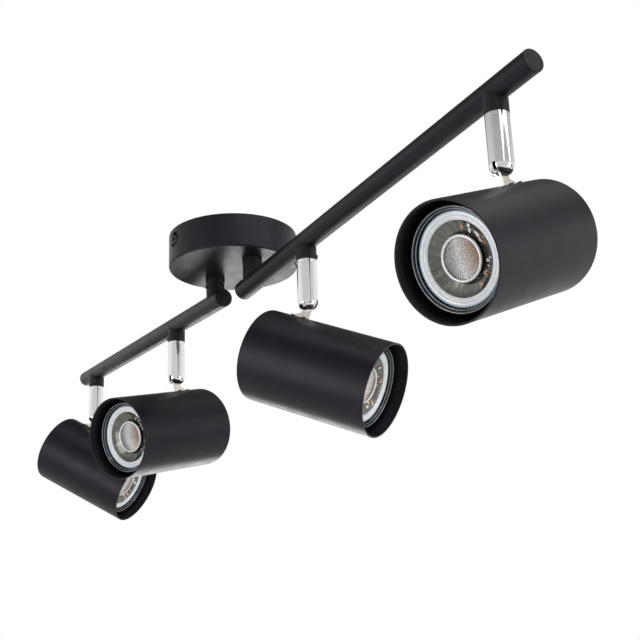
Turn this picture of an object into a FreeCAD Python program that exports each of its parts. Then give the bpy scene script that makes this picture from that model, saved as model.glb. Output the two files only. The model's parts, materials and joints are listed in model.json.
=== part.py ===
"""Ceiling spotlight bar: a round canopy, two swivelling arms and four adjustable GU10 heads.

Millimetres, +Z up.  The origin is the centre of the canopy's ceiling face and the fixture hangs
below it.  The two vertical arm swivels stand on the X axis.  An arm is built along +X with its
swivel at x = 0: the tube leans up towards its outer end, while the stems under it hang upright.
The arm is then turned to its yaw and moved to its swivel.  A head is built with its tilt rivet at
the origin and its beam along +X, then tilted about Y, panned about Z and hung on its arm.
"""
import FreeCAD, Part
import math
import os

Vector = FreeCAD.Vector
X_AXIS = Vector(1, 0, 0)
Y_AXIS = Vector(0, 1, 0)
Z_AXIS = Vector(0, 0, 1)
ORIGIN = Vector(0, 0, 0)

# Clearances
RUNNING_FIT = 0.06
PUSH_FIT = 0.03
CLEARANCE = 0.15
OVERCUT = 1.0

# Canopy, a pressed steel drum that hangs on a strap
CANOPY_RADIUS = 45.0
CANOPY_HEIGHT = 23.4
SHEET = 1.0
CANOPY_EDGE_RADIUS = 1.2
SWIVEL_SPACING = 47.2
SIDE_SCREW_Z = -8.5
SIDE_SCREW_OFFSET = 6.0
SIDE_SCREW_RADIUS = 2.0
SIDE_SCREW_LENGTH = 8.0
SIDE_SCREW_HEAD_RADIUS = 3.6
SIDE_SCREW_HEAD_HEIGHT = 2.0
DIMPLE_RADIUS = 5.4
DIMPLE_SEAT = 42.8

# Ceiling strap
STRAP_WIDTH = 20.0
STRAP_THICKNESS = 1.5
STRAP_TAB_DEPTH = 14.0
CEILING_SLOT_SPACING = 52.0
CEILING_SLOT_LENGTH = 12.0
CEILING_SLOT_RADIUS = 2.5
SUPPLY_HOLE_RADIUS = 5.0
EARTH_SCREW_Y = 11.0
EARTH_SCREW_LENGTH = 4.0

# Terminal block on the floor of the canopy
POLE_PITCH = 9.0
POLE_WIDTH = 7.6
TERMINAL_Y = 27.0
TERMINAL_DEPTH = 15.0
TERMINAL_HEIGHT = 12.0
TERMINAL_WEB_HEIGHT = 3.0
TERMINAL_BORE_RADIUS = 1.9
TERMINAL_BORE_RISE = 5.0
TERMINAL_SCREW_RADIUS = 1.6
TERMINAL_SCREW_LENGTH = 5.0
TERMINAL_SCREW_SPACING = 8.0
TERMINAL_SLOT_WIDTH = 0.6
TERMINAL_SLOT_DEPTH = 0.8

# Arms
ARM_RADIUS = 6.5
ARM_WALL = 1.0
ARM_AXIS_Z = -41.4
ARM_STUB = 14.6
ARM_REACH = 294.5
STEM_STATIONS = (73.5, 264.5)
STATIONS = range(len(STEM_STATIONS))
ARM_YAW = {"right": -6.7, "left": 171.5}
ARM_LEAN = 3.5
END_CAP_THICKNESS = 1.6
END_PLUG_LENGTH = 4.5
END_CAP_FILLET = 0.6

# Bearing of the set screws on the swivel collar and on the two stem collars, from the arm's
# outward direction
SET_SCREW_BEARINGS = {"right": (75.0, 60.0, 140.0), "left": (75.0, 60.0, -60.0)}

# Hollow M8 nipples and their nuts
NIPPLE_RADIUS = 4.0
NIPPLE_BORE_RADIUS = 2.8
NIPPLE_PROUD = 1.5
NIPPLE_PAST_AXIS = 1.0
INSERT_LENGTH = 16.0
INSERT_PAST_AXIS = 0.8
WASHER_RADIUS = 9.0
WASHER_THICKNESS = 1.0
NUT_ACROSS_FLATS = 13.0
NUT_HEIGHT = 4.0
FLANGE_THICKNESS = 1.2
FLANGE_RADIUS = 5.0
SPACER_HEIGHT = 3.4
SPACER_RADIUS = 6.9
COLLAR_EDGE = 0.4
SET_SCREW_RADIUS = 1.2
SET_SCREW_PROUD = 0.7
SWIVEL_SET_SCREW_Z = -30.0

# Stems
STEM_RADIUS = 6.4
STEM_WALL = 1.0
STEM_TOP_WALL = 3.0
STEM_TOP_CHAMFER = 0.4
STEM_COLLAR_BOTTOM = 13.4
STEM_SET_SCREW_RISE = 2.4
TILT_AXIS_DROP = 44.2
STEM_END_BELOW_TILT = 2.4
STEM_END_FILLET = 4.8
STEM_SLOT_WIDTH = 1.9
STEM_SLOT_ABOVE_TILT = 3.3
STEM_REAR_SLOT_ABOVE_TILT = 7.6
STEM_GROOVE_DROP = 1.7
STEM_GROOVE_WIDTH = 0.35
STEM_GROOVE_DEPTH = 0.25
RIVET_RADIUS = 1.3
RIVET_HALF_LENGTH = 5.7
RIVET_FILLET = 0.3

# Heads
HEAD_RADIUS = 29.0
HEAD_LENGTH = 88.0
HEAD_WALL = 1.0
HEAD_AXIS_DROP = 36.8
HEAD_FRONT = 68.0
HEAD_REAR_FILLET = 2.0
BRACKET_SHEET = 1.5
BRACKET_EYE_RADIUS = 2.9
BRACKET_FLARE_TOP = -4.6
BRACKET_FLARE_BOTTOM = -6.8
BRACKET_REAR = -7.2
FOOT_SHEET = 0.8
FOOT_WIDTH = 11.0
FOOT_FRONT = 3.6
FOOT_REAR = -9.0
FOOT_RIVET_SPOTS = [(-6.4, -3.4), (-6.4, 3.4), (1.4, -3.4), (1.4, 3.4)]
FOOT_RIVET_RADIUS = 0.9
FOOT_RIVET_BUTTON = 1.5
FOOT_RIVET_LENGTH = 3.0
FOOT_RIVET_RISE = 0.25

# GU10 lamp and its holder
LAMP_RADIUS = 25.0
LAMP_RECESS = 8.0
LAMP_LENGTH = 48.0
LAMP_WALL = 1.2
LAMP_BASE_RADIUS = 11.5
LAMP_BASE_LENGTH = 8.0
LAMP_SHOULDER_LENGTH = 1.5
LAMP_NECK_RADIUS = 15.0
LAMP_NECK_LENGTH = 12.0
LAMP_RIM_LENGTH = 4.0
LAMP_CAVITY_DEPTH = 14.0
LENS_THICKNESS = 2.4
COLLIMATOR_DEPTH = 11.5
COLLIMATOR_RADIUS = 11.0
COLLIMATOR_TIP_RADIUS = 5.0
PIN_SPACING = 10.0
PIN_RADIUS = 1.25
PIN_LENGTH = 6.5
PIN_HEAD_RADIUS = 2.5
PIN_HEAD_LENGTH = 2.5
HOLDER_RADIUS = 13.0
HOLDER_LENGTH = 18.0
PILLAR_SPACING = 16.0
PILLAR_RADIUS = 2.5

# Rest positions of the heads: arm, station, pan about the stem from the arm's outward
# direction, and tilt of the beam below level
HEADS = {
    "right_outer": ("right", 1, -77.3, 22.4),
    "right_inner": ("right", 0, 35.6, 23.0),
    "left_inner": ("left", 0, 111.0, 14.3),
    "left_outer": ("left", 1, -133.2, 30.1),
}


# ---------------------------------------------------------------- shape helpers
def rod(radius, low, high, x=0.0, y=0.0):
    """Vertical solid cylinder between two heights."""
    return Part.makeCylinder(radius, high - low, Vector(x, y, low), Z_AXIS)


def rod_along_x(radius, start, end, y=0.0, z=0.0):
    return Part.makeCylinder(radius, end - start, Vector(start, y, z), X_AXIS)


def rod_along_y(radius, start, end, x=0.0, z=0.0):
    return Part.makeCylinder(radius, end - start, Vector(x, start, z), Y_AXIS)


def block(x_range, y_range, z_range):
    size = [high - low for low, high in (x_range, y_range, z_range)]
    corner = Vector(x_range[0], y_range[0], z_range[0])
    return Part.makeBox(size[0], size[1], size[2], corner)


def turned(profile):
    """Solid of revolution about X from (x, radius) points."""
    points = [Vector(x, 0, radius) for x, radius in profile]
    face = Part.Face(Part.makePolygon(points + points[:1]))
    return face.revolve(ORIGIN, X_AXIS, 360)


def hexagon_nut(bore_radius, low, high):
    corner = NUT_ACROSS_FLATS / math.sqrt(3)
    angles = [math.radians(60 * side) for side in range(7)]
    outline = Part.makePolygon([Vector(corner * math.cos(a), corner * math.sin(a), low) for a in angles])
    nut = Part.Face(outline).extrude(Vector(0, 0, high - low))
    return nut.cut(rod(bore_radius, low - OVERCUT, high + OVERCUT))


def circle_edges(shape, axis, position, radius):
    """Circular edges of a given radius whose centre has the given coordinate along an axis."""
    found = []
    for edge in shape.Edges:
        curve = edge.Curve
        if not isinstance(curve, Part.Circle):
            continue
        if abs(curve.Radius - radius) < 0.01 and abs(getattr(curve.Center, axis) - position) < 0.01:
            found.append(edge)
    return found


def group(solids):
    return Part.makeCompound(solids)


def swivel_x(side):
    return SWIVEL_SPACING / 2 if side == "right" else -SWIVEL_SPACING / 2


def leaned(shape):
    """Lean a level arm's part about its swivel so that the arm's outer end rises."""
    placed = shape.copy()
    placed.rotate(Vector(0, 0, ARM_AXIS_Z), Y_AXIS, -ARM_LEAN)
    return placed


def stem_x(station):
    """Distance of an upright stem from its arm's swivel."""
    return STEM_STATIONS[station] * math.cos(math.radians(ARM_LEAN))


def axis_z(station):
    """Height of the leaned tube's axis above an upright stem."""
    return ARM_AXIS_Z + STEM_STATIONS[station] * math.sin(math.radians(ARM_LEAN))


def on_swivel(shape, side):
    """Turn a part of the arm's frame to the arm's yaw and move it to its swivel."""
    placed = shape.copy()
    placed.rotate(ORIGIN, Z_AXIS, ARM_YAW[side])
    placed.translate(Vector(swivel_x(side), 0, 0))
    return placed


def on_stem(shape, head, tilted=False):
    """Move a shape from the head's own frame, tilt axis at the origin, to its place."""
    side, station, pan, tilt = HEADS[head]
    placed = shape.copy()
    if tilted:
        placed.rotate(ORIGIN, Y_AXIS, tilt)
    placed.rotate(ORIGIN, Z_AXIS, pan)
    placed.translate(Vector(stem_x(station), 0, axis_z(station) - TILT_AXIS_DROP))
    return on_swivel(placed, side)


# ---------------------------------------------------------------- canopy
def canopy_cup():
    floor = -CANOPY_HEIGHT
    outer = rod(CANOPY_RADIUS, floor, 0)
    outer = outer.makeFillet(CANOPY_EDGE_RADIUS, circle_edges(outer, "z", floor, CANOPY_RADIUS))
    cup = outer.cut(rod(CANOPY_RADIUS - SHEET, floor + SHEET, OVERCUT))
    for side in (1, -1):
        cup = add_screw_dimple(cup, side)
        swivel_hole = rod(NIPPLE_RADIUS + RUNNING_FIT, floor - OVERCUT, 0, side * SWIVEL_SPACING / 2)
        cup = cup.cut(swivel_hole)
    return cup


def add_screw_dimple(cup, side):
    """Press a flat-bottomed dimple into the side wall and pierce it for the side screw."""
    wall = CANOPY_RADIUS + OVERCUT
    inner = DIMPLE_SEAT - SHEET
    boss = dimple_rod(DIMPLE_RADIUS + SHEET, inner, CANOPY_RADIUS, side)
    cup = cup.fuse(boss.common(rod(CANOPY_RADIUS - SHEET / 2, -CANOPY_HEIGHT, 0)))
    cup = cup.cut(dimple_rod(DIMPLE_RADIUS, DIMPLE_SEAT, wall, side))
    return cup.cut(dimple_rod(SIDE_SCREW_RADIUS + CLEARANCE, inner - OVERCUT, wall, side))


def dimple_rod(radius, near, far, side):
    """Cylinder along a side screw's axis, between two distances from the canopy's mid-plane."""
    low, high = sorted((side * near, side * far))
    return rod_along_y(radius, low, high, side * SIDE_SCREW_OFFSET, SIDE_SCREW_Z)


def ceiling_strap():
    tab_face = DIMPLE_SEAT - SHEET - CLEARANCE
    half = STRAP_WIDTH / 2
    strap = block((-half, half), (-tab_face, tab_face), (-STRAP_THICKNESS, 0))
    for side in (1, -1):
        low, high = sorted((side * (tab_face - STRAP_THICKNESS), side * tab_face))
        strap = strap.fuse(block((-half, half), (low, high), (-STRAP_TAB_DEPTH, 0)))
        strap = strap.cut(ceiling_slot(side * CEILING_SLOT_SPACING / 2))
        behind_tab = tab_face - 2 * STRAP_THICKNESS
        strap = strap.cut(dimple_rod(SIDE_SCREW_RADIUS, behind_tab, CANOPY_RADIUS, side))
    strap = strap.cut(rod(SUPPLY_HOLE_RADIUS, -STRAP_THICKNESS - OVERCUT, OVERCUT))
    strap = strap.cut(rod(SIDE_SCREW_RADIUS, -STRAP_THICKNESS - OVERCUT, OVERCUT, 0, EARTH_SCREW_Y))
    return strap.removeSplitter()


def ceiling_slot(y):
    low = -STRAP_THICKNESS - OVERCUT
    run = CEILING_SLOT_LENGTH / 2 - CEILING_SLOT_RADIUS
    slot = block((-CEILING_SLOT_RADIUS, CEILING_SLOT_RADIUS), (y - run, y + run), (low, OVERCUT))
    for end in (y - run, y + run):
        slot = slot.fuse(rod(CEILING_SLOT_RADIUS, low, OVERCUT, 0, end))
    return slot


def pan_head_screw(shank_length):
    """Screw along -Z with a domed, cross-recessed head whose underside lies at the origin."""
    radius = SIDE_SCREW_HEAD_RADIUS
    top = SIDE_SCREW_HEAD_HEIGHT
    shank = rod(SIDE_SCREW_RADIUS - PUSH_FIT, -shank_length, 0)
    head = rod(radius, 0, top)
    head = head.makeFillet(0.45 * top, circle_edges(head, "z", top, radius))
    screw = head.fuse(shank)
    reach = 0.55 * radius
    half_slot = 0.14 * radius
    depth = (0.45 * top, top + OVERCUT)
    screw = screw.cut(block((-reach, reach), (-half_slot, half_slot), depth))
    return screw.cut(block((-half_slot, half_slot), (-reach, reach), depth))


def canopy_side_screws():
    screws = []
    for side in (1, -1):
        screw = pan_head_screw(SIDE_SCREW_LENGTH)
        screw.rotate(ORIGIN, X_AXIS, -90 * side)
        screw.translate(Vector(side * SIDE_SCREW_OFFSET, side * DIMPLE_SEAT, SIDE_SCREW_Z))
        screws.append(screw)
    return group(screws)


def earth_screw():
    """Screw under the strap, its shank trimmed flush with the ceiling."""
    screw = pan_head_screw(EARTH_SCREW_LENGTH)
    screw.rotate(ORIGIN, X_AXIS, 180)
    screw.translate(Vector(0, EARTH_SCREW_Y, -STRAP_THICKNESS))
    reach = 2 * SIDE_SCREW_HEAD_RADIUS
    above_ceiling = block((-reach, reach), (EARTH_SCREW_Y - reach, EARTH_SCREW_Y + reach), (-0.2, reach))
    return screw.cut(above_ceiling)


def canopy_floor():
    return SHEET - CANOPY_HEIGHT


def terminal_spots():
    """Pole position and screw position of each clamp screw."""
    half = TERMINAL_SCREW_SPACING / 2
    poles = (-POLE_PITCH, 0, POLE_PITCH)
    return [(pole, TERMINAL_Y + end) for pole in poles for end in (-half, half)]


def terminal_block():
    """Three clamp poles joined by a low web."""
    floor = canopy_floor()
    depth = (TERMINAL_Y - TERMINAL_DEPTH / 2, TERMINAL_Y + TERMINAL_DEPTH / 2)
    half_length = POLE_PITCH + POLE_WIDTH / 2
    body = block((-half_length, half_length), depth, (floor, floor + TERMINAL_WEB_HEIGHT))
    for pole in (-POLE_PITCH, 0, POLE_PITCH):
        width = (pole - POLE_WIDTH / 2, pole + POLE_WIDTH / 2)
        body = body.fuse(block(width, depth, (floor, floor + TERMINAL_HEIGHT)))
    bore_z = floor + TERMINAL_BORE_RISE
    for pole, y in terminal_spots():
        body = body.cut(rod_along_y(TERMINAL_BORE_RADIUS, 0, CANOPY_RADIUS, pole, bore_z))
        body = body.cut(rod(TERMINAL_SCREW_RADIUS + CLEARANCE, bore_z, 0, pole, y))
    return body.removeSplitter()


def terminal_screws():
    top = canopy_floor() + TERMINAL_HEIGHT - 1.0
    low = top - TERMINAL_SCREW_LENGTH
    half_slot = TERMINAL_SLOT_WIDTH / 2
    reach = 2 * TERMINAL_SCREW_RADIUS
    screws = []
    for pole, y in terminal_spots():
        screw = rod(TERMINAL_SCREW_RADIUS, low, top, pole, y)
        width = (y - half_slot, y + half_slot)
        depth = (top - TERMINAL_SLOT_DEPTH, top + OVERCUT)
        screws.append(screw.cut(block((pole - reach, pole + reach), width, depth)))
    return group(screws)


def swivel_washers():
    low = canopy_floor()
    washers = []
    for side in (1, -1):
        x = side * SWIVEL_SPACING / 2
        disc = rod(WASHER_RADIUS, low, low + WASHER_THICKNESS, x)
        hole = rod(NIPPLE_RADIUS + RUNNING_FIT, low - OVERCUT, low + WASHER_THICKNESS + OVERCUT, x)
        washers.append(disc.cut(hole))
    return group(washers)


# ---------------------------------------------------------------- arms
def tube_rod(radius, start, end):
    """Rod along the level arm's axis."""
    return rod_along_x(radius, start, end, 0, ARM_AXIS_Z)


def leaned_tube_rod(radius, start, end):
    return leaned(tube_rod(radius, start, end))


def arm_tube():
    start = END_CAP_THICKNESS - ARM_STUB
    end = ARM_REACH - END_CAP_THICKNESS
    tube = leaned_tube_rod(ARM_RADIUS, start, end)
    tube = tube.cut(leaned_tube_rod(ARM_RADIUS - ARM_WALL, start - OVERCUT, end + OVERCUT))
    for station in STATIONS:
        tube = tube.cut(stem_bore(station, axis_z(station)))
    return tube.cut(rod(NIPPLE_RADIUS + RUNNING_FIT, ARM_AXIS_Z, 0))


def stem_bore(station, top, radius=NIPPLE_RADIUS + RUNNING_FIT):
    """Upright hole on a stem's axis, from well below the arm up to a height."""
    return rod(radius, 2 * ARM_AXIS_Z, top, stem_x(station))


def end_caps():
    return group([end_cap(-ARM_STUB, 1), end_cap(ARM_REACH, -1)])


def end_cap(outer, inward):
    """Disc over one end of the tube, with a hollow plug inside it."""
    inner = outer + inward * END_CAP_THICKNESS
    tip = inner + inward * END_PLUG_LENGTH
    disc = tube_rod(ARM_RADIUS, min(outer, inner), max(outer, inner))
    disc = disc.makeFillet(END_CAP_FILLET, circle_edges(disc, "x", outer, ARM_RADIUS))
    plug = tube_rod(ARM_RADIUS - ARM_WALL - PUSH_FIT, min(inner, tip), max(inner, tip))
    past = tip + inward * OVERCUT
    core = tube_rod(ARM_RADIUS - 3 * ARM_WALL, min(inner, past), max(inner, past))
    return leaned(disc.fuse(plug).cut(core))


def swivel_collar(side):
    """Black collar between the canopy and the arm: a wider ring above, a saddle below."""
    top = -CANOPY_HEIGHT - CLEARANCE
    ring_bottom = top - SPACER_HEIGHT
    ring = rod(SPACER_RADIUS, ring_bottom, top)
    ring = ring.makeFillet(COLLAR_EDGE, circle_edges(ring, "z", ring_bottom, SPACER_RADIUS))
    collar = ring.fuse(rod(ARM_RADIUS, ARM_AXIS_Z, ring_bottom))
    collar = collar.cut(leaned_tube_rod(ARM_RADIUS, -2 * ARM_RADIUS, 2 * ARM_RADIUS))
    collar = largest_piece(collar)
    collar = collar.cut(rod(NIPPLE_RADIUS + RUNNING_FIT, ARM_AXIS_Z - OVERCUT, 0))
    return collar.cut(set_screw(0, SWIVEL_SET_SCREW_Z, SET_SCREW_BEARINGS[side][0], PUSH_FIT))


def largest_piece(shape):
    """Drop the slivers that a saddle cut leaves at the tube's flanks."""
    return max(shape.Solids, key=lambda solid: solid.Volume)


def stem_collar(side, station):
    """Black collar under the arm: flat where the stem turns, saddle cut to the tube above."""
    bottom = axis_z(station) - STEM_COLLAR_BOTTOM
    x = stem_x(station)
    collar = rod(ARM_RADIUS, bottom, axis_z(station), x)
    collar = collar.makeFillet(COLLAR_EDGE, circle_edges(collar, "z", bottom, ARM_RADIUS))
    collar = collar.cut(leaned_tube_rod(ARM_RADIUS, x - 2 * ARM_RADIUS, x + 2 * ARM_RADIUS))
    collar = largest_piece(collar).cut(stem_bore(station, 0))
    bearing = SET_SCREW_BEARINGS[side][station + 1]
    return collar.cut(set_screw(x, bottom + STEM_SET_SCREW_RISE, bearing, PUSH_FIT))


def set_screw(x, z, bearing, extra_radius=0.0):
    """Grub screw on the side of a collar, its outer end slightly proud."""
    start = NIPPLE_RADIUS + CLEARANCE
    screw = rod_along_x(SET_SCREW_RADIUS + extra_radius, start, ARM_RADIUS + SET_SCREW_PROUD)
    screw.rotate(ORIGIN, Z_AXIS, bearing)
    screw.translate(Vector(x, 0, z))
    return screw


def set_screws(side):
    bearings = SET_SCREW_BEARINGS[side]
    screws = [set_screw(0, SWIVEL_SET_SCREW_Z, bearings[0])]
    for station in STATIONS:
        z = axis_z(station) - STEM_COLLAR_BOTTOM + STEM_SET_SCREW_RISE
        screws.append(set_screw(stem_x(station), z, bearings[station + 1]))
    return group(screws)


def swivel_nipple():
    top = canopy_floor() + WASHER_THICKNESS + NUT_HEIGHT + NIPPLE_PROUD
    bottom = ARM_AXIS_Z - NIPPLE_PAST_AXIS
    nipple = rod(NIPPLE_RADIUS, bottom, top)
    return nipple.cut(rod(NIPPLE_BORE_RADIUS, bottom - OVERCUT, top + OVERCUT))


def swivel_nut():
    low = canopy_floor() + WASHER_THICKNESS + RUNNING_FIT
    return hexagon_nut(NIPPLE_RADIUS + PUSH_FIT, low, low + NUT_HEIGHT)


def insert_nuts():
    """Half-round nuts inside the tube, above its axis at the swivel and below it at the stems."""
    inserts = [half_insert(0, 1).cut(rod(NIPPLE_RADIUS + PUSH_FIT, 2 * ARM_AXIS_Z, 0))]
    for station, x in enumerate(STEM_STATIONS):
        inserts.append(half_insert(x, -1).cut(stem_bore(station, 0, NIPPLE_RADIUS + PUSH_FIT)))
    return group(inserts)


def half_insert(x, upward):
    half = INSERT_LENGTH / 2
    reach = 2 * ARM_RADIUS
    insert = tube_rod(ARM_RADIUS - ARM_WALL - PUSH_FIT, x - half, x + half)
    low, high = sorted((ARM_AXIS_Z - upward * INSERT_PAST_AXIS, ARM_AXIS_Z + upward * reach))
    return leaned(insert.common(block((x - half, x + half), (-reach, reach), (low, high))))


def stem_nipples():
    """Hollow nipples screwed into the tube; the flange at each lower end carries a stem."""
    nipples = []
    for station in STATIONS:
        x = stem_x(station)
        stem_top = axis_z(station) - STEM_COLLAR_BOTTOM - CLEARANCE
        flange_top = stem_top - STEM_TOP_WALL - RUNNING_FIT
        flange_bottom = flange_top - FLANGE_THICKNESS
        nipple = rod(NIPPLE_RADIUS, flange_bottom, axis_z(station) + NIPPLE_PAST_AXIS, x)
        nipple = nipple.fuse(rod(FLANGE_RADIUS, flange_bottom, flange_top, x))
        nipples.append(nipple.cut(stem_bore(station, 0, NIPPLE_BORE_RADIUS)))
    return group(nipples)


# ---------------------------------------------------------------- heads
def stem():
    """Chromed tube with a closed top, a grooved ring below it and a rounded, slotted lower end."""
    top = TILT_AXIS_DROP - STEM_COLLAR_BOTTOM - CLEARANCE
    bottom = -STEM_END_BELOW_TILT
    body = rod(STEM_RADIUS, bottom, top)
    body = body.makeFillet(STEM_END_FILLET, circle_edges(body, "z", bottom, STEM_RADIUS))
    body = body.makeChamfer(STEM_TOP_CHAMFER, circle_edges(body, "z", top, STEM_RADIUS))
    body = body.cut(stem_groove(top - STEM_GROOVE_DROP))
    hollow_floor = STEM_SLOT_ABOVE_TILT + STEM_WALL
    body = body.cut(rod(STEM_RADIUS - STEM_WALL, hollow_floor, top - STEM_TOP_WALL))
    body = body.cut(rod(NIPPLE_RADIUS + RUNNING_FIT, hollow_floor + OVERCUT, top + OVERCUT))
    body = body.cut(stem_slot(-2 * STEM_RADIUS, 2 * STEM_RADIUS, STEM_SLOT_ABOVE_TILT))
    body = body.cut(stem_slot(-2 * STEM_RADIUS, 0, STEM_REAR_SLOT_ABOVE_TILT))
    return body.cut(rod_along_y(RIVET_RADIUS + PUSH_FIT, -2 * STEM_RADIUS, 2 * STEM_RADIUS))


def stem_slot(start, end, top):
    """Slot for the bracket's tab, also the way for the lamp's wires."""
    half = STEM_SLOT_WIDTH / 2
    return block((start, end), (-half, half), (-2 * STEM_END_BELOW_TILT, top))


def stem_groove(z):
    ring = rod(STEM_RADIUS + OVERCUT, z - STEM_GROOVE_WIDTH, z)
    return ring.cut(rod(STEM_RADIUS - STEM_GROOVE_DEPTH, z - OVERCUT, z + OVERCUT))


def tilt_rivet():
    rivet = rod_along_y(RIVET_RADIUS, -RIVET_HALF_LENGTH, RIVET_HALF_LENGTH)
    ends = [edge for edge in rivet.Edges if isinstance(edge.Curve, Part.Circle)]
    return rivet.makeFillet(RIVET_FILLET, ends)


def bracket():
    """Tab that turns in the stem's slot and passes through the shell to a foot inside it."""
    half = BRACKET_SHEET / 2
    past = 2 * abs(FOOT_REAR)
    eye = rod_along_y(BRACKET_EYE_RADIUS, -half, half)
    shape = eye.fuse(bracket_tab(half)).fuse(bracket_foot())
    shape = shape.cut(rod_along_y(RIVET_RADIUS + RUNNING_FIT, -past, past))
    return cut_foot_rivet_holes(shape)


def bracket_tab(half):
    base = -HEAD_AXIS_DROP + foot_radius() - FOOT_SHEET / 2
    outline = [
        (BRACKET_EYE_RADIUS, 0), (-BRACKET_EYE_RADIUS, 0), (-BRACKET_EYE_RADIUS, BRACKET_FLARE_TOP),
        (BRACKET_REAR, BRACKET_FLARE_BOTTOM), (BRACKET_REAR, base), (BRACKET_EYE_RADIUS, base),
    ]
    points = [Vector(x, -half, z) for x, z in outline]
    face = Part.Face(Part.makePolygon(points + points[:1]))
    return face.extrude(Vector(0, 2 * half, 0))


def foot_radius():
    """Outer radius of the foot, which lies against the inside of the shell."""
    return HEAD_RADIUS - HEAD_WALL - PUSH_FIT


def bracket_foot():
    """Strip of sheet curved to the inside of the shell."""
    strip = block((FOOT_REAR, FOOT_FRONT), (-FOOT_WIDTH / 2, FOOT_WIDTH / 2), (-HEAD_AXIS_DROP, 0))
    outer = rod_along_x(foot_radius(), FOOT_REAR, FOOT_FRONT, 0, -HEAD_AXIS_DROP)
    hollow = foot_radius() - FOOT_SHEET
    inner = rod_along_x(hollow, FOOT_REAR - OVERCUT, FOOT_FRONT + OVERCUT, 0, -HEAD_AXIS_DROP)
    return outer.common(strip).cut(inner)


def tab_slot():
    """Slot in the top of the shell for the bracket's tab."""
    half = BRACKET_SHEET / 2 + CLEARANCE
    length = (BRACKET_REAR - CLEARANCE, BRACKET_EYE_RADIUS + CLEARANCE)
    return block(length, (-half, half), (-HEAD_AXIS_DROP, 0))


def cut_foot_rivet_holes(shape):
    for x, y in FOOT_RIVET_SPOTS:
        shape = shape.cut(rod(FOOT_RIVET_RADIUS, -HEAD_AXIS_DROP, 0, x, y))
    return shape


def bracket_rivets():
    """Low rivets that hold the bracket's foot to the shell."""
    rivets = []
    for x, y in FOOT_RIVET_SPOTS:
        seat = math.sqrt(HEAD_RADIUS ** 2 - y * y) - HEAD_AXIS_DROP
        top = seat + 2 * FOOT_RIVET_RISE
        shank = rod(FOOT_RIVET_RADIUS - PUSH_FIT, top - FOOT_RIVET_LENGTH, top, x, y)
        button = rod(FOOT_RIVET_BUTTON, seat + FOOT_RIVET_RISE, top, x, y)
        rivets.append(shank.fuse(button))
    return group(rivets)


def head_shell():
    rear = HEAD_FRONT - HEAD_LENGTH
    body = rod_along_x(HEAD_RADIUS, rear, HEAD_FRONT, 0, -HEAD_AXIS_DROP)
    body = body.makeFillet(HEAD_REAR_FILLET, circle_edges(body, "x", rear, HEAD_RADIUS))
    floor = rear + HEAD_WALL
    inner_radius = HEAD_RADIUS - HEAD_WALL
    core = rod_along_x(inner_radius, floor, HEAD_FRONT + OVERCUT, 0, -HEAD_AXIS_DROP)
    core = core.makeFillet(HEAD_REAR_FILLET - HEAD_WALL, circle_edges(core, "x", floor, inner_radius))
    return cut_foot_rivet_holes(body.cut(core).cut(tab_slot()))


def lamp_front():
    return HEAD_FRONT - LAMP_RECESS


def pin_positions():
    return (-PIN_SPACING / 2, PIN_SPACING / 2)


def lamp_body():
    """GU10 lamp: base with two pins, neck, flared body and front rim, open for the lens."""
    front = lamp_front()
    rear = front - LAMP_LENGTH
    shoulder = rear + LAMP_BASE_LENGTH
    rim_rear = front - LAMP_RIM_LENGTH
    lens_seat = front - LENS_THICKNESS - CLEARANCE
    cavity_floor = front - LAMP_CAVITY_DEPTH
    outline = [
        (rear, 0),
        (rear, LAMP_BASE_RADIUS),
        (shoulder, LAMP_BASE_RADIUS),
        (shoulder + LAMP_SHOULDER_LENGTH, LAMP_NECK_RADIUS),
        (shoulder + LAMP_NECK_LENGTH, LAMP_NECK_RADIUS + 2 * LAMP_WALL),
        (rim_rear - LAMP_RIM_LENGTH, LAMP_RADIUS - LAMP_WALL),
        (rim_rear, LAMP_RADIUS),
        (front, LAMP_RADIUS),
        (front, LAMP_RADIUS - LAMP_WALL),
        (lens_seat, LAMP_RADIUS - LAMP_WALL),
        (lens_seat, LAMP_RADIUS - 2 * LAMP_WALL),
        (cavity_floor, LAMP_NECK_RADIUS),
        (cavity_floor, 0),
    ]
    body = turned(outline)
    for y in pin_positions():
        pin_end = rear - PIN_LENGTH
        body = body.fuse(rod_along_x(PIN_RADIUS, pin_end, rear + OVERCUT, y))
        body = body.fuse(rod_along_x(PIN_HEAD_RADIUS, pin_end, pin_end + PIN_HEAD_LENGTH, y))
    body.translate(Vector(0, 0, -HEAD_AXIS_DROP))
    return body


def lamp_lens():
    """Front disc of the lamp with its shallow central collimator."""
    front = lamp_front()
    back = front - LENS_THICKNESS
    radius = LAMP_RADIUS - LAMP_WALL - CLEARANCE / 2
    tip = front - COLLIMATOR_DEPTH
    disc = turned([(back, 0), (back, radius), (front, radius), (front, 0)])
    collimator = turned([(tip, 0), (tip, COLLIMATOR_TIP_RADIUS), (back, COLLIMATOR_RADIUS), (back, 0)])
    lens = disc.fuse(collimator)
    lens.translate(Vector(0, 0, -HEAD_AXIS_DROP))
    return lens


def lamp_holder():
    """Ceramic GU10 holder on two pillars that stand on the closed rear of the shell."""
    mouth = lamp_front() - LAMP_LENGTH - 2 * CLEARANCE
    back = mouth - HOLDER_LENGTH
    holder = rod_along_x(HOLDER_RADIUS, back, mouth)
    for y in pin_positions():
        socket = rod_along_x(PIN_HEAD_RADIUS + 2 * CLEARANCE, mouth - PIN_LENGTH - 2, mouth + OVERCUT, y)
        holder = holder.cut(socket)
    rear_wall = HEAD_FRONT - HEAD_LENGTH + HEAD_WALL
    for y in (-PILLAR_SPACING / 2, PILLAR_SPACING / 2):
        holder = holder.fuse(rod_along_x(PILLAR_RADIUS, rear_wall, back + OVERCUT, y))
    holder.translate(Vector(0, 0, -HEAD_AXIS_DROP))
    return holder


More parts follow.
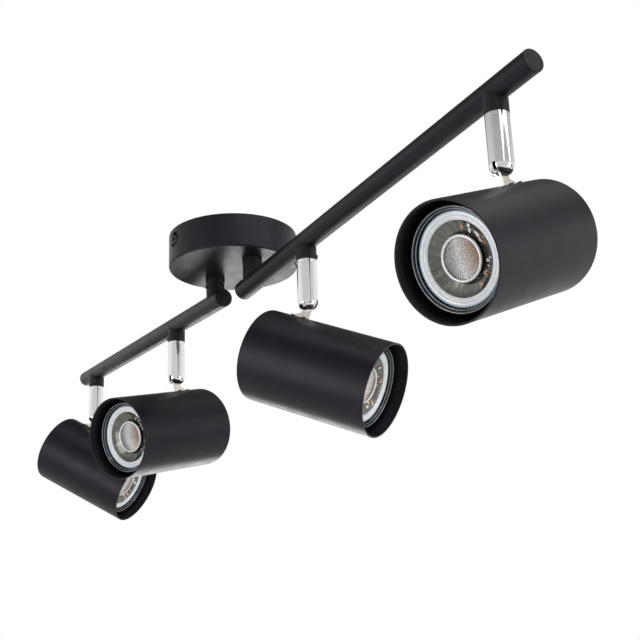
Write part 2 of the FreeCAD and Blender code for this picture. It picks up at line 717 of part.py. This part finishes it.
# ---------------------------------------------------------------- assembly
def canopy_nodes():
    return {
        "canopy_cup": canopy_cup(),
        "ceiling_strap": ceiling_strap(),
        "canopy_side_screws": canopy_side_screws(),
        "earth_screw": earth_screw(),
        "terminal_block": terminal_block(),
        "terminal_screws": terminal_screws(),
        "swivel_washers": swivel_washers(),
    }


def arm_nodes(side):
    pieces = {
        "arm_tube": arm_tube(),
        "end_caps": end_caps(),
        "swivel_collar": swivel_collar(side),
        "swivel_nipple": swivel_nipple(),
        "swivel_nut": swivel_nut(),
        "arm_insert_nuts": insert_nuts(),
        "stem_nipples": stem_nipples(),
        "set_screws": set_screws(side),
    }
    return {f"{side}_{name}": on_swivel(shape, side) for name, shape in pieces.items()}


def head_nodes(head):
    side, station, _, _ = HEADS[head]
    nodes = {
        f"{head}_stem_collar": on_swivel(stem_collar(side, station), side),
        f"{head}_stem": on_stem(stem(), head),
        f"{head}_tilt_rivet": on_stem(tilt_rivet(), head),
    }
    tilting = {
        "bracket": bracket(),
        "bracket_rivets": bracket_rivets(),
        "shell": head_shell(),
        "lamp_holder": lamp_holder(),
        "lamp_body": lamp_body(),
        "lamp_lens": lamp_lens(),
    }
    for name, shape in tilting.items():
        nodes[f"{head}_{name}"] = on_stem(shape, head, tilted=True)
    return nodes


def main():
    os.makedirs("parts", exist_ok=True)
    nodes = canopy_nodes()
    for side in ARM_YAW:
        nodes.update(arm_nodes(side))
    for head in HEADS:
        nodes.update(head_nodes(head))
    for name, shape in nodes.items():
        shape.exportStep(f"parts/{name}.step")


main()
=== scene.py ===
import json
import math
import random

import bmesh
import bpy
from mathutils import Matrix, Vector


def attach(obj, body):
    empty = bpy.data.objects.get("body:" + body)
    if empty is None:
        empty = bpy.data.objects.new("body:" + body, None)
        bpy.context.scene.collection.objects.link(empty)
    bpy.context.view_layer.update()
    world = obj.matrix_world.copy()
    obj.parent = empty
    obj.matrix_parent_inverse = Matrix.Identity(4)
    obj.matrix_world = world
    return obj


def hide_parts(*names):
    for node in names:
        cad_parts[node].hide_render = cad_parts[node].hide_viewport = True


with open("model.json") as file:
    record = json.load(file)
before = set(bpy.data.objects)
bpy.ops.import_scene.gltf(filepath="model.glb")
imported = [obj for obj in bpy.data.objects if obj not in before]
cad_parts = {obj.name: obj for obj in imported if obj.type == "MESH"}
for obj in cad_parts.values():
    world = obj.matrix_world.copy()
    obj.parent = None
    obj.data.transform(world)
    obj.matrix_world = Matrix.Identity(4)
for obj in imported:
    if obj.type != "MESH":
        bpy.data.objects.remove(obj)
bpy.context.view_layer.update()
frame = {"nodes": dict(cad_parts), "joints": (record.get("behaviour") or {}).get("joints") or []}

# Metres.  The fixture hangs from the ceiling face at z = 0.
MM = 0.001
HEADS = ("right_outer", "right_inner", "left_inner", "left_outer")
SEED = 7

# Camera below the fixture, near the right arm's outer end
CAMERA_PLACE = (0.6347, -0.4213, -0.3109)
CAMERA_YAW = 141.92
CAMERA_PITCH = 18.04
CAMERA_ROLL = -2.14
CAMERA_LENS = 64.66
SENSOR = 36.0

# Floor: metres below the ceiling face, and metres across
FLOOR_DROP = 1.0
FLOOR_SIZE = 60.0
FLOOR_GLOW = 0.45

# Softboxes: place, point aimed at, size in metres, watts
SOFTBOXES = {
    "overhead_softbox": ((1.1, 0.1, 1.4), (0.0, 0.0, -0.6), (2.2, 2.2), 26.0),
    "near_softbox": ((1.44, 0.55, -0.30), (0.1, 0.0, -0.1), (0.6, 1.0), 5.0),
    "side_softbox": ((-0.10, -1.55, -0.30), (0.0, 0.0, -0.1), (0.6, 1.0), 5.0),
    "rear_softbox": ((-1.20, 0.80, -0.55), (0.0, 0.0, -0.05), (0.80, 0.40), 4.2),
}

# Grey of the surround: level with the fixture, a little above, overhead, and its share in front
WORLD_SIDE = 0.97
WORLD_RISING = 0.9
WORLD_ABOVE = 0.16
WORLD_FRONT = 0.72
FRONT_DIRECTION = (0.82, -0.52, 0.25)

# Slightly violet sheen of the black finishes
BLACK_SHEEN = (0.95, 0.90, 1.0, 1.0)

# Lamp face, millimetres: radii, and depths behind the lamp's front plane
RIM_RADIUS = 24.55
RIM_TUBE = 0.42
INNER_RIM_RADIUS = 23.35
INNER_RIM_DEPTH = 1.2
INNER_RIM_TUBE = 0.34
EDGE_RADIUS = 22.3
EDGE_DEPTH = 2.5
EDGE_TUBE = 0.30

# Moulded ring, and its rounded steps as crest radius, half width and setback
RING_OUTER = 22.2
RING_INNER = 17.9
RING_DEPTH = 1.9
RING_SKIRT = 3.5
RING_STEPS = ((21.1, 1.05, 0.0), (19.35, 0.65, 0.35), (18.35, 0.4, 0.65))
CREST_HEIGHT = 0.55
CREST_SPANS = 6

# Ribbed reflector
DISH_OUTER = 18.1
DISH_INNER = 10.9
DISH_FRONT = 3.2
DISH_BACK = 6.4
DISH_CURVE = 0.8
DISH_RIBS = 72
DISH_ROWS = 5
RIB_STEP = 0.16
RIB_WAVE = 0.05

# Slivers on the reflector, painted highlights: material, count, widest turn in degrees, half width and
# lift
SLIVERS = {
    "copper_glints": ("copper", 9, 68.0, 0.6, 0.14),
    "pale_glints": ("eye_ring", 14, 60.0, 0.8, 0.09),
}
SLIVER_LEAST_TURN = 12.0
SLIVER_LEAST_WIDTH = 0.3
SLIVER_LENGTHS = (1.0, 2.2)
SLIVER_INNER_GAP = 1.2
SLIVER_OUTER_GAP = 2.2

# Central lens of six-sided lenslets: heights above the dome at the cell's edge, shoulder and top
EYE_RADIUS = 10.5
EYE_DEPTH = 4.4
EYE_TUBE = 0.75
LENS_RADIUS = 9.8
LENS_DEPTH = 5.3
LENS_RISE = 1.6
LENS_OVERLAP = 0.4
LENS_PITCH = 1.15
ROW_PITCH = LENS_PITCH * 0.866
CELL_REACH = LENS_PITCH / 1.732
SHOULDER_REACH = LENS_PITCH / 2.3
CELL_EDGE = -0.15
CELL_SHOULDER = 0.25
CELL_TOP = 0.45
# Scale of the cells of painted shade in the gaps between the lenslets
GAP_SHADE_SCALE = 850.0

TURN_STEPS = 96
SECTION_POINTS = 14


# ------------------------------------------------------------------ materials
def new_material(name):
    material = bpy.data.materials.new(name)
    material.use_nodes = True
    nodes = material.node_tree.nodes
    shader = nodes["Principled BSDF"]
    return material, nodes, material.node_tree.links, shader


def noise(nodes, links, scale, detail=4.0, roughness=0.55, distortion=0.0):
    """Noise in the object's own metres."""
    place = nodes.new("ShaderNodeTexCoord")
    texture = nodes.new("ShaderNodeTexNoise")
    texture.inputs["Scale"].default_value = scale
    texture.inputs["Detail"].default_value = detail
    texture.inputs["Roughness"].default_value = roughness
    texture.inputs["Distortion"].default_value = distortion
    links.new(place.outputs["Object"], texture.inputs["Vector"])
    return texture


def ramp(nodes, links, source, stops):
    """Colour ramp from (position, colour) stops."""
    node = nodes.new("ShaderNodeValToRGB")
    elements = node.color_ramp.elements
    while len(elements) < len(stops):
        elements.new(0.5)
    for element, (position, colour) in zip(elements, stops):
        element.position = position
        element.color = (*colour, 1.0)
    links.new(source, node.inputs["Fac"])
    return node.outputs["Color"]


def remap(nodes, links, source, low, high):
    node = nodes.new("ShaderNodeMapRange")
    node.inputs["From Min"].default_value = low
    node.inputs["From Max"].default_value = high
    links.new(source, node.inputs["Value"])
    return node.outputs["Result"]


def multiply(nodes, links, first, second):
    node = nodes.new("ShaderNodeMix")
    node.data_type = "RGBA"
    node.blend_type = "MULTIPLY"
    node.inputs["Factor"].default_value = 1.0
    links.new(first, node.inputs["A"])
    links.new(second, node.inputs["B"])
    return node.outputs["Result"]


def grey(value):
    return (value, value, value)


def add_roughness(nodes, links, shader, scale, low, high, detail=5.0):
    texture = noise(nodes, links, scale, detail)
    colour = ramp(nodes, links, texture.outputs["Fac"], [(0.32, grey(low)), (0.68, grey(high))])
    links.new(colour, shader.inputs["Roughness"])


def add_bump(nodes, links, shader, layers):
    """Chain bump layers given as (scale, height in millimetres, detail)."""
    previous = None
    for scale, height, detail in layers:
        texture = noise(nodes, links, scale, detail)
        bump = nodes.new("ShaderNodeBump")
        bump.inputs["Strength"].default_value = 1.0
        bump.inputs["Distance"].default_value = height * MM
        links.new(texture.outputs["Fac"], bump.inputs["Height"])
        if previous is not None:
            links.new(previous.outputs["Normal"], bump.inputs["Normal"])
        previous = bump
    links.new(previous.outputs["Normal"], shader.inputs["Normal"])


def mottled(name, dark, light, rough, bumps, scale=60.0, metallic=0.0, **sockets):
    """Principled surface with mottled colour, uneven roughness and layered bump."""
    material, nodes, links, shader = new_material(name)
    colour = noise(nodes, links, scale)
    stops = [(0.30, dark), (0.70, light)]
    links.new(ramp(nodes, links, colour.outputs["Fac"], stops), shader.inputs["Base Color"])
    add_roughness(nodes, links, shader, scale * 2.3, rough[0], rough[1])
    add_bump(nodes, links, shader, bumps)
    shader.inputs["Metallic"].default_value = metallic
    for socket, value in sockets.items():
        shader.inputs[socket.replace("_", " ")].default_value = value
    return material


def black_paint():
    """Satin powder coat: a fine orange peel with a finer grain and faint cloudy colour."""
    return mottled(
        "black_powder_coat", (0.0066, 0.0056, 0.0082), (0.0104, 0.0090, 0.0128), (0.33, 0.42),
        [(900.0, 0.010, 2.0), (3800.0, 0.004, 3.0)], scale=45.0,
        Specular_IOR_Level=0.27, Specular_Tint=BLACK_SHEEN)


def collar_paint():
    """The same coat on turned parts, with a slightly coarser grain."""
    return mottled(
        "black_collar_coat", (0.0065, 0.0063, 0.0075), (0.0110, 0.0105, 0.0125), (0.38, 0.52),
        [(1200.0, 0.012, 2.0), (5200.0, 0.005, 3.0)], scale=120.0,
        Specular_IOR_Level=0.27, Specular_Tint=BLACK_SHEEN)


def black_plastic():
    return mottled(
        "black_moulded_plastic", (0.0050, 0.0050, 0.0056), (0.0090, 0.0088, 0.0098), (0.45, 0.60),
        [(1600.0, 0.010, 3.0), (6000.0, 0.004, 2.0)], scale=140.0,
        Specular_IOR_Level=0.27, Specular_Tint=BLACK_SHEEN)


def black_screw():
    return mottled(
        "black_oxide_screw", (0.010, 0.010, 0.011), (0.030, 0.029, 0.030), (0.24, 0.42),
        [(2600.0, 0.006, 3.0)], scale=500.0, metallic=0.55)


def chrome():
    """Mirror chrome with faint smudges and a barely uneven polish."""
    return mottled(
        "chrome_plate", (0.83, 0.82, 0.85), (0.91, 0.90, 0.93), (0.045, 0.085),
        [(120.0, 0.004, 2.0)], scale=90.0, metallic=1.0)


def nickel():
    return mottled(
        "bright_nickel", (0.66, 0.63, 0.57), (0.80, 0.77, 0.71), (0.14, 0.26),
        [(700.0, 0.006, 4.0), (4200.0, 0.0025, 2.0)], scale=260.0, metallic=1.0)


def zinc():
    """Zinc plate with a spangle of large soft cells under fine scratches."""
    material, nodes, links, shader = new_material("zinc_plate")
    place = nodes.new("ShaderNodeTexCoord")
    cells = nodes.new("ShaderNodeTexVoronoi")
    cells.inputs["Scale"].default_value = 320.0
    links.new(place.outputs["Object"], cells.inputs["Vector"])
    stops = [(0.0, (0.44, 0.45, 0.46)), (1.0, (0.66, 0.67, 0.67))]
    links.new(ramp(nodes, links, cells.outputs["Distance"], stops), shader.inputs["Base Color"])
    add_roughness(nodes, links, shader, 500.0, 0.26, 0.44)
    add_bump(nodes, links, shader, [(1500.0, 0.006, 4.0)])
    shader.inputs["Metallic"].default_value = 1.0
    return material


def brass():
    return mottled(
        "plain_brass", (0.56, 0.39, 0.15), (0.72, 0.54, 0.25), (0.22, 0.36),
        [(1400.0, 0.006, 4.0)], scale=420.0, metallic=1.0)


def white_plastic():
    return mottled(
        "white_moulded_plastic", (0.70, 0.69, 0.65), (0.80, 0.79, 0.76), (0.35, 0.48),
        [(2200.0, 0.006, 3.0)], scale=160.0)


def ceramic():
    return mottled(
        "steatite_ceramic", (0.66, 0.63, 0.56), (0.78, 0.76, 0.70), (0.50, 0.70),
        [(900.0, 0.020, 4.0), (4000.0, 0.008, 3.0)], scale=240.0)


def lamp_glass():
    """Dark-looking clear glass of the lamp's outer wall."""
    return mottled(
        "lamp_wall_glass", (0.006, 0.008, 0.010), (0.020, 0.024, 0.026), (0.04, 0.10),
        [(300.0, 0.010, 2.0)], scale=130.0, Coat_Weight=0.5, Coat_Roughness=0.03)


def rim_glass():
    """Rounded glass edges, which catch thin white lines."""
    return mottled(
        "lamp_rim_glass", (0.16, 0.17, 0.19), (0.30, 0.32, 0.35), (0.03, 0.08),
        [(500.0, 0.008, 2.0)], scale=180.0, metallic=0.75, Coat_Weight=0.5, Coat_Roughness=0.03)


def edge_glass():
    """Teal tint that the lamp's thick glass shows at its edge."""
    return mottled(
        "lamp_edge_glass", (0.04, 0.13, 0.18), (0.17, 0.36, 0.43), (0.04, 0.12),
        [(600.0, 0.010, 2.0)], scale=150.0, metallic=0.6, Coat_Weight=0.5, Coat_Roughness=0.04)


def ring_glass():
    """Pale moulded ring around the reflector, with faint flow marks."""
    return mottled(
        "lamp_ring_glass", (0.84, 0.87, 0.91), (0.97, 0.98, 0.99), (0.05, 0.18),
        [(420.0, 0.030, 3.0), (1800.0, 0.008, 2.0)], scale=230.0, metallic=0.1, Coat_Weight=0.6)


def reflector():
    """Greenish-grey streaks from the rim of the dish to its centre, under a clear coat of glass."""
    material, nodes, links, shader = new_material("lamp_reflector")
    streaks = nodes.new("ShaderNodeTexNoise")
    streaks.inputs["Scale"].default_value = 1.0
    streaks.inputs["Detail"].default_value = 5.0
    streaks.inputs["Roughness"].default_value = 0.62
    links.new(around_the_axis(nodes, links, 7.0, 260.0), streaks.inputs["Vector"])
    stops = [(0.30, (0.060, 0.062, 0.050)), (0.52, (0.105, 0.108, 0.090)), (0.72, (0.24, 0.24, 0.21))]
    links.new(ramp(nodes, links, streaks.outputs["Fac"], stops), shader.inputs["Base Color"])
    add_roughness(nodes, links, shader, 700.0, 0.16, 0.34)
    add_bump(nodes, links, shader, [(800.0, 0.035, 4.0)])
    shader.inputs["Metallic"].default_value = 0.8
    shader.inputs["Coat Weight"].default_value = 1.0
    shader.inputs["Coat Roughness"].default_value = 0.08
    shader.inputs["Coat IOR"].default_value = 1.6
    return material


def around_the_axis(nodes, links, turns_scale, depth_scale):
    """Texture place made of the angle about the object's X axis and the depth along it."""
    place = nodes.new("ShaderNodeTexCoord")
    split = nodes.new("ShaderNodeSeparateXYZ")
    angle = nodes.new("ShaderNodeMath")
    angle.operation = "ARCTAN2"
    joined = nodes.new("ShaderNodeCombineXYZ")
    links.new(place.outputs["Object"], split.inputs["Vector"])
    links.new(split.outputs["Z"], angle.inputs[0])
    links.new(split.outputs["Y"], angle.inputs[1])
    wanted = ((angle.outputs[0], turns_scale, "X"), (split.outputs["X"], depth_scale, "Y"))
    for source, factor, target in wanted:
        scaled = nodes.new("ShaderNodeMath")
        scaled.operation = "MULTIPLY"
        scaled.inputs[1].default_value = factor
        links.new(source, scaled.inputs[0])
        links.new(scaled.outputs[0], joined.inputs[target])
    return joined.outputs["Vector"]


# Painted copper highlight for the slivers on the reflector
def copper_glint():
    return mottled(
        "lamp_copper_glint", (0.46, 0.19, 0.08), (0.74, 0.38, 0.20), (0.16, 0.30),
        [(900.0, 0.020, 3.0)], scale=500.0, metallic=0.6)


def eye_ring():
    return mottled(
        "lamp_eye_ring", (0.78, 0.80, 0.82), (0.95, 0.96, 0.97), (0.05, 0.14),
        [(700.0, 0.020, 3.0)], scale=300.0, metallic=0.4, Coat_Weight=0.4)


def eye_lens():
    """Central lens: silver cells with painted shade in their gaps, painted shade on one side, a painted
    highlight across the middle, and warm towards the other side.
    """
    material, nodes, links, shader = new_material("lamp_eye_lens")
    place = nodes.new("ShaderNodeTexCoord")
    split = nodes.new("ShaderNodeSeparateXYZ")
    links.new(place.outputs["Object"], split.inputs["Vector"])
    across = remap(nodes, links, split.outputs["Y"], -LENS_RADIUS * MM, LENS_RADIUS * MM)
    # Painted shade on the grey side and a painted highlight across the middle; warm towards the other side
    tint = ramp(nodes, links, across, [
        (0.10, (0.42, 0.41, 0.40)), (0.48, (0.97, 0.97, 0.97)),
        (0.70, (0.80, 0.72, 0.66)), (0.94, (0.52, 0.32, 0.22)),
    ])
    cells = nodes.new("ShaderNodeTexVoronoi")
    cells.feature = "DISTANCE_TO_EDGE"
    cells.inputs["Scale"].default_value = GAP_SHADE_SCALE
    links.new(place.outputs["Object"], cells.inputs["Vector"])
    # Painted shade: darker along the gaps between the cells
    gap_shade = ramp(nodes, links, cells.outputs["Distance"], [(0.02, grey(0.55)), (0.13, grey(1.0))])
    links.new(multiply(nodes, links, tint, gap_shade), shader.inputs["Base Color"])
    add_roughness(nodes, links, shader, 900.0, 0.08, 0.20)
    add_bump(nodes, links, shader, [(2400.0, 0.010, 2.0)])
    shader.inputs["Metallic"].default_value = 0.15
    shader.inputs["Coat Weight"].default_value = 1.0
    return material


MATERIALS = {
    "paint": black_paint(), "collar": collar_paint(), "plastic": black_plastic(), "screw": black_screw(),
    "chrome": chrome(), "nickel": nickel(), "zinc": zinc(), "brass": brass(), "white": white_plastic(),
    "ceramic": ceramic(), "lamp": lamp_glass(), "rim": rim_glass(), "edge": edge_glass(),
    "ring": ring_glass(), "reflector": reflector(), "copper": copper_glint(),
    "eye_ring": eye_ring(), "eye_lens": eye_lens(),
}

# Finish of each CAD node, by the end of its name; the longest match wins
FINISHES = {
    "canopy_cup": "paint", "canopy_side_screws": "screw", "ceiling_strap": "zinc", "earth_screw": "brass",
    "terminal_block": "white", "terminal_screws": "brass", "swivel_washers": "zinc",
    "arm_tube": "paint", "end_caps": "plastic", "swivel_collar": "collar", "swivel_nipple": "zinc",
    "swivel_nut": "zinc", "arm_insert_nuts": "zinc", "stem_nipples": "zinc", "set_screws": "screw",
    "stem_collar": "collar", "stem": "chrome", "tilt_rivet": "nickel", "bracket": "nickel",
    "bracket_rivets": "screw", "shell": "paint", "lamp_holder": "ceramic", "lamp_body": "lamp",
    "lamp_lens": "ring",
}


def finish_of(node):
    endings = [ending for ending in FINISHES if node.endswith(ending)]
    return FINISHES[max(endings, key=len)]


def dress_nodes():
    for name, obj in frame["nodes"].items():
        obj.data.materials.clear()
        obj.data.materials.append(MATERIALS[finish_of(name)])


# ------------------------------------------------------------------ head frames
def joint(name):
    return next(entry for entry in frame["joints"] if entry["name"] == name)


def head_matrix(head):
    """Head's own frame: origin on the tilt rivet, X along the beam, Z away from the lamp's axis."""
    tilt_joint = joint(head + "_tilt")
    across = Vector(tilt_joint["axis"]).normalized()
    stem_up = Vector(joint(head + "_pan")["axis"]).normalized()
    square = across.cross(stem_up)
    tilt = math.radians(90.0 - tilt_joint["range_deg"][1])
    beam = square * math.cos(tilt) - stem_up * math.sin(tilt)
    up = beam.cross(across)
    turned = Matrix((beam, across, up)).transposed().to_4x4()
    return Matrix.Translation(Vector(tilt_joint["pos_m"])) @ turned


def lamp_matrix(head):
    """Lamp's frame: origin at the centre of its front plane, X along the beam."""
    to_head = head_matrix(head)
    inverse = to_head.inverted()
    lens = [inverse @ vertex.co for vertex in frame["nodes"][head + "_lamp_lens"].data.vertices]
    front = max(point.x for point in lens)
    heights = [point.z for point in lens]
    axis_z = (max(heights) + min(heights)) / 2
    return to_head @ Matrix.Translation((front, 0.0, axis_z))


# ------------------------------------------------------------------ mesh helpers
def to_object(mesh_builder, name, matrix, materials, smooth=True):
    mesh = bpy.data.meshes.new(name)
    mesh_builder.normal_update()
    mesh_builder.to_mesh(mesh)
    mesh_builder.free()
    for material in materials:
        mesh.materials.append(MATERIALS[material])
    for polygon in mesh.polygons:
        polygon.use_smooth = smooth
    obj = bpy.data.objects.new(name, mesh)
    bpy.context.scene.collection.objects.link(obj)
    obj.matrix_world = matrix
    return obj


def turned_surface(profile, steps=TURN_STEPS, closed=False):
    """Surface of revolution about X from (x, radius) points in millimetres."""
    builder = bmesh.new()
    rings = []
    for x, radius in profile:
        ring = []
        for step in range(steps):
            angle = 2 * math.pi * step / steps
            place = (x * MM, radius * MM * math.cos(angle), radius * MM * math.sin(angle))
            ring.append(builder.verts.new(place))
        rings.append(ring)
    pairs = list(zip(rings, rings[1:]))
    if closed:
        pairs.append((rings[-1], rings[0]))
    for ring, following in pairs:
        for step in range(steps):
            after = (step + 1) % steps
            builder.faces.new((ring[step], ring[after], following[after], following[step]))
    return builder


def round_section(x, radius, tube):
    """Circle profile for a ring of round section."""
    angles = [2 * math.pi * step / SECTION_POINTS for step in range(SECTION_POINTS)]
    return [(x + tube * math.cos(a), radius + tube * math.sin(a)) for a in angles]


# ------------------------------------------------------------------ lamp face
def glass_beads(head, matrix):
    """Two rounded glass edges: the lamp's rim, and the step inside it."""
    outer = round_section(0.0, RIM_RADIUS, RIM_TUBE)
    inner = round_section(-INNER_RIM_DEPTH, INNER_RIM_RADIUS, INNER_RIM_TUBE)
    return [
        to_object(turned_surface(outer, closed=True), head + "_lamp_rim", matrix, ["rim"]),
        to_object(turned_surface(inner, closed=True), head + "_lamp_inner_rim", matrix, ["rim"]),
    ]


def glass_edge(head, matrix):
    builder = turned_surface(round_section(-EDGE_DEPTH, EDGE_RADIUS, EDGE_TUBE), closed=True)
    return to_object(builder, head + "_lamp_glass_edge", matrix, ["edge"])


def moulded_ring(head, matrix):
    """Pale ring of three rounded steps between the glass wall and the reflector."""
    profile = [(-RING_DEPTH - RING_SKIRT, RING_OUTER)]
    for crest, half_width, setback in RING_STEPS:
        for step in range(CREST_SPANS + 1):
            turn = math.pi * step / CREST_SPANS
            x = -RING_DEPTH - setback - CREST_HEIGHT * (1 - math.sin(turn))
            profile.append((x, crest + half_width * math.cos(turn)))
    profile.append((-RING_DEPTH - RING_SKIRT, RING_INNER))
    return to_object(turned_surface(profile), head + "_lamp_ring", matrix, ["ring"])


def dish_point(radius, turn, push):
    """Point on the reflector's cone, pushed back from it by some millimetres."""
    share = (DISH_OUTER - radius) / (DISH_OUTER - DISH_INNER)
    depth = DISH_FRONT + (DISH_BACK - DISH_FRONT) * share ** DISH_CURVE
    return (-(depth + push) * MM, radius * MM * math.cos(turn), radius * MM * math.sin(turn))


def ribbed_dish(head, matrix, chance):
    """Conical reflector of narrow ribs; each rib stands a little higher or lower than the next."""
    builder = bmesh.new()
    width = DISH_INNER - DISH_OUTER
    radii = [DISH_OUTER + width * row / DISH_ROWS for row in range(DISH_ROWS + 1)]
    pushes = [chance.uniform(0.0, RIB_STEP) for rib in range(DISH_RIBS)]
    rings = []
    for radius in radii:
        ring = []
        for rib in range(DISH_RIBS):
            push = pushes[rib] + chance.uniform(0.0, RIB_WAVE)
            ring.append(builder.verts.new(dish_point(radius, 2 * math.pi * rib / DISH_RIBS, push)))
        rings.append(ring)
    for outer, inner in zip(rings, rings[1:]):
        for rib in range(DISH_RIBS):
            after = (rib + 1) % DISH_RIBS
            builder.faces.new((outer[rib], outer[after], inner[after], inner[rib]))
    return to_object(builder, head + "_lamp_reflector", matrix, ["reflector"])


def slivers(head, matrix, chance, name):
    """Small curved slivers just off the reflector: painted highlights, copper or pale, on one side of the
    dish.
    """
    material, count, widest_turn, widest, lift = SLIVERS[name]
    builder = bmesh.new()
    for _ in range(count):
        side = chance.choice((-1, 1))
        turn = side * math.radians(chance.uniform(SLIVER_LEAST_TURN, widest_turn))
        radius = chance.uniform(DISH_INNER + SLIVER_INNER_GAP, DISH_OUTER - SLIVER_OUTER_GAP)
        length = chance.uniform(*SLIVER_LENGTHS)
        width = chance.uniform(SLIVER_LEAST_WIDTH, widest) / radius
        corners = [(radius, -width), (radius + length, -width), (radius + length, width), (radius, width)]
        builder.faces.new([builder.verts.new(dish_point(r, turn + a, -lift)) for r, a in corners])
    return to_object(builder, head + "_lamp_" + name, matrix, [material], smooth=False)


def eye_ring_piece(head, matrix):
    builder = turned_surface(round_section(-EYE_DEPTH, EYE_RADIUS, EYE_TUBE), closed=True)
    return to_object(builder, head + "_lamp_eye_ring", matrix, ["eye_ring"])


def eye_height(y, z):
    """Dome of the central lens above its edge, in millimetres."""
    share = min(1.0, (y * y + z * z) / (LENS_RADIUS * LENS_RADIUS))
    return LENS_RISE * (1.0 - share)


def eye_lens_piece(head, matrix):
    """Dome covered with small six-sided lenslets, each a low stepped pyramid."""
    builder = bmesh.new()
    rows = int(LENS_RADIUS / ROW_PITCH) + 1
    for row in range(-rows, rows + 1):
        for column in range(-rows, rows + 1):
            y = (column + 0.5 * (row % 2)) * LENS_PITCH
            z = row * ROW_PITCH
            if math.hypot(y, z) < LENS_RADIUS + LENS_OVERLAP:
                add_lenslet(builder, y, z)
    return to_object(builder, head + "_lamp_eye_lens", matrix, ["eye_lens"], smooth=False)


def lens_point(y, z, lift):
    """Point over the lens, lifted from its dome."""
    return ((eye_height(y, z) + lift - LENS_DEPTH) * MM, y * MM, z * MM)


def add_lenslet(builder, y, z):
    loops = []
    for reach, lift in ((CELL_REACH, CELL_EDGE), (SHOULDER_REACH, CELL_SHOULDER)):
        loop = []
        for corner in range(6):
            angle = math.radians(60 * corner + 30)
            corner_y = y + reach * math.cos(angle)
            corner_z = z + reach * math.sin(angle)
            loop.append(builder.verts.new(lens_point(corner_y, corner_z, lift)))
        loops.append(loop)
    top = builder.verts.new(lens_point(y, z, CELL_TOP))
    outer, inner = loops
    for corner in range(6):
        after = (corner + 1) % 6
        builder.faces.new((outer[corner], outer[after], inner[after], inner[corner]))
        builder.faces.new((inner[corner], inner[after], top))


def build_lamp(head, chance):
    matrix = lamp_matrix(head)
    ring = moulded_ring(head, matrix)
    pieces = [
        ring, *glass_beads(head, matrix), glass_edge(head, matrix), ribbed_dish(head, matrix, chance),
        slivers(head, matrix, chance, "copper_glints"), slivers(head, matrix, chance, "pale_glints"),
        eye_ring_piece(head, matrix), eye_lens_piece(head, matrix),
    ]
    for piece in pieces:
        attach(piece, head + "_head")
    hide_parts(head + "_lamp_lens")


# ------------------------------------------------------------------ studio
def build_camera():
    yaw = math.radians(CAMERA_YAW)
    pitch = math.radians(CAMERA_PITCH)
    roll = math.radians(CAMERA_ROLL)
    ahead = Vector((math.cos(pitch) * math.cos(yaw), math.cos(pitch) * math.sin(yaw), math.sin(pitch)))
    level = Vector((math.sin(yaw), -math.cos(yaw), 0.0))
    upright = level.cross(ahead)
    right = level * math.cos(roll) + upright * math.sin(roll)
    up = upright * math.cos(roll) - level * math.sin(roll)
    data = bpy.data.cameras.new("photo_camera")
    data.sensor_width = SENSOR
    data.lens = CAMERA_LENS
    camera = bpy.data.objects.new("photo_camera", data)
    turned = Matrix((right, up, -ahead)).transposed().to_4x4()
    camera.matrix_world = Matrix.Translation(CAMERA_PLACE) @ turned
    bpy.context.scene.collection.objects.link(camera)
    bpy.context.scene.camera = camera


def soft_light(name, place, aim, size, power):
    data = bpy.data.lights.new(name, "AREA")
    data.shape = "RECTANGLE"
    data.size, data.size_y = size
    data.energy = power
    light = bpy.data.objects.new(name, data)
    light.location = place
    light.rotation_euler = (Vector(aim) - Vector(place)).to_track_quat("-Z", "Y").to_euler()
    bpy.context.scene.collection.objects.link(light)


def build_world():
    """Surround that is white to the camera, and to all else darker overhead and in front."""
    world = bpy.data.worlds.new("studio")
    bpy.context.scene.world = world
    world.use_nodes = True
    nodes, links = world.node_tree.nodes, world.node_tree.links
    background = nodes["Background"]
    place = nodes.new("ShaderNodeTexCoord")
    split = nodes.new("ShaderNodeSeparateXYZ")
    links.new(place.outputs["Generated"], split.inputs["Vector"])
    height = ramp(nodes, links, remap(nodes, links, split.outputs["Z"], -1.0, 1.0), [
        (0.0, grey(1.0)), (0.50, grey(WORLD_SIDE)), (0.67, grey(WORLD_RISING)), (0.80, grey(WORLD_ABOVE))])
    toward = nodes.new("ShaderNodeVectorMath")
    toward.operation = "DOT_PRODUCT"
    toward.inputs[1].default_value = FRONT_DIRECTION
    links.new(place.outputs["Generated"], toward.inputs[0])
    front = ramp(nodes, links, remap(nodes, links, toward.outputs["Value"], -1.0, 1.0), [
        (0.55, grey(1.0)), (0.82, grey(WORLD_FRONT))])
    surround = multiply(nodes, links, height, front)
    seen = nodes.new("ShaderNodeLightPath")
    choose = nodes.new("ShaderNodeMix")
    choose.data_type = "RGBA"
    choose.inputs["B"].default_value = (1.0, 1.0, 1.0, 1.0)
    links.new(seen.outputs["Is Camera Ray"], choose.inputs["Factor"])
    links.new(surround, choose.inputs["A"])
    links.new(choose.outputs["Result"], background.inputs["Color"])


def build_floor():
    builder = bmesh.new()
    half = FLOOR_SIZE / 2
    corners = [(-half, -half), (half, -half), (half, half), (-half, half)]
    builder.faces.new([builder.verts.new((x, y, -FLOOR_DROP)) for x, y in corners])
    MATERIALS["floor"] = mottled(
        "pale_floor", grey(0.42), grey(0.45), (0.55, 0.65), [(40.0, 0.05, 2.0)], scale=3.0,
        Emission_Color=(1.0, 1.0, 1.0, 1.0), Emission_Strength=FLOOR_GLOW)
    floor = to_object(builder, "pale_floor", Matrix.Identity(4), ["floor"])


def build_studio():
    build_world()
    build_floor()
    for name, (place, aim, size, power) in SOFTBOXES.items():
        soft_light(name, place, aim, size, power)
    view = bpy.context.scene.view_settings
    view.view_transform = "Standard"
    view.look = "None"


def main():
    dress_nodes()
    chance = random.Random(SEED)
    for head in HEADS:
        build_lamp(head, chance)
    build_camera()
    build_studio()


main()
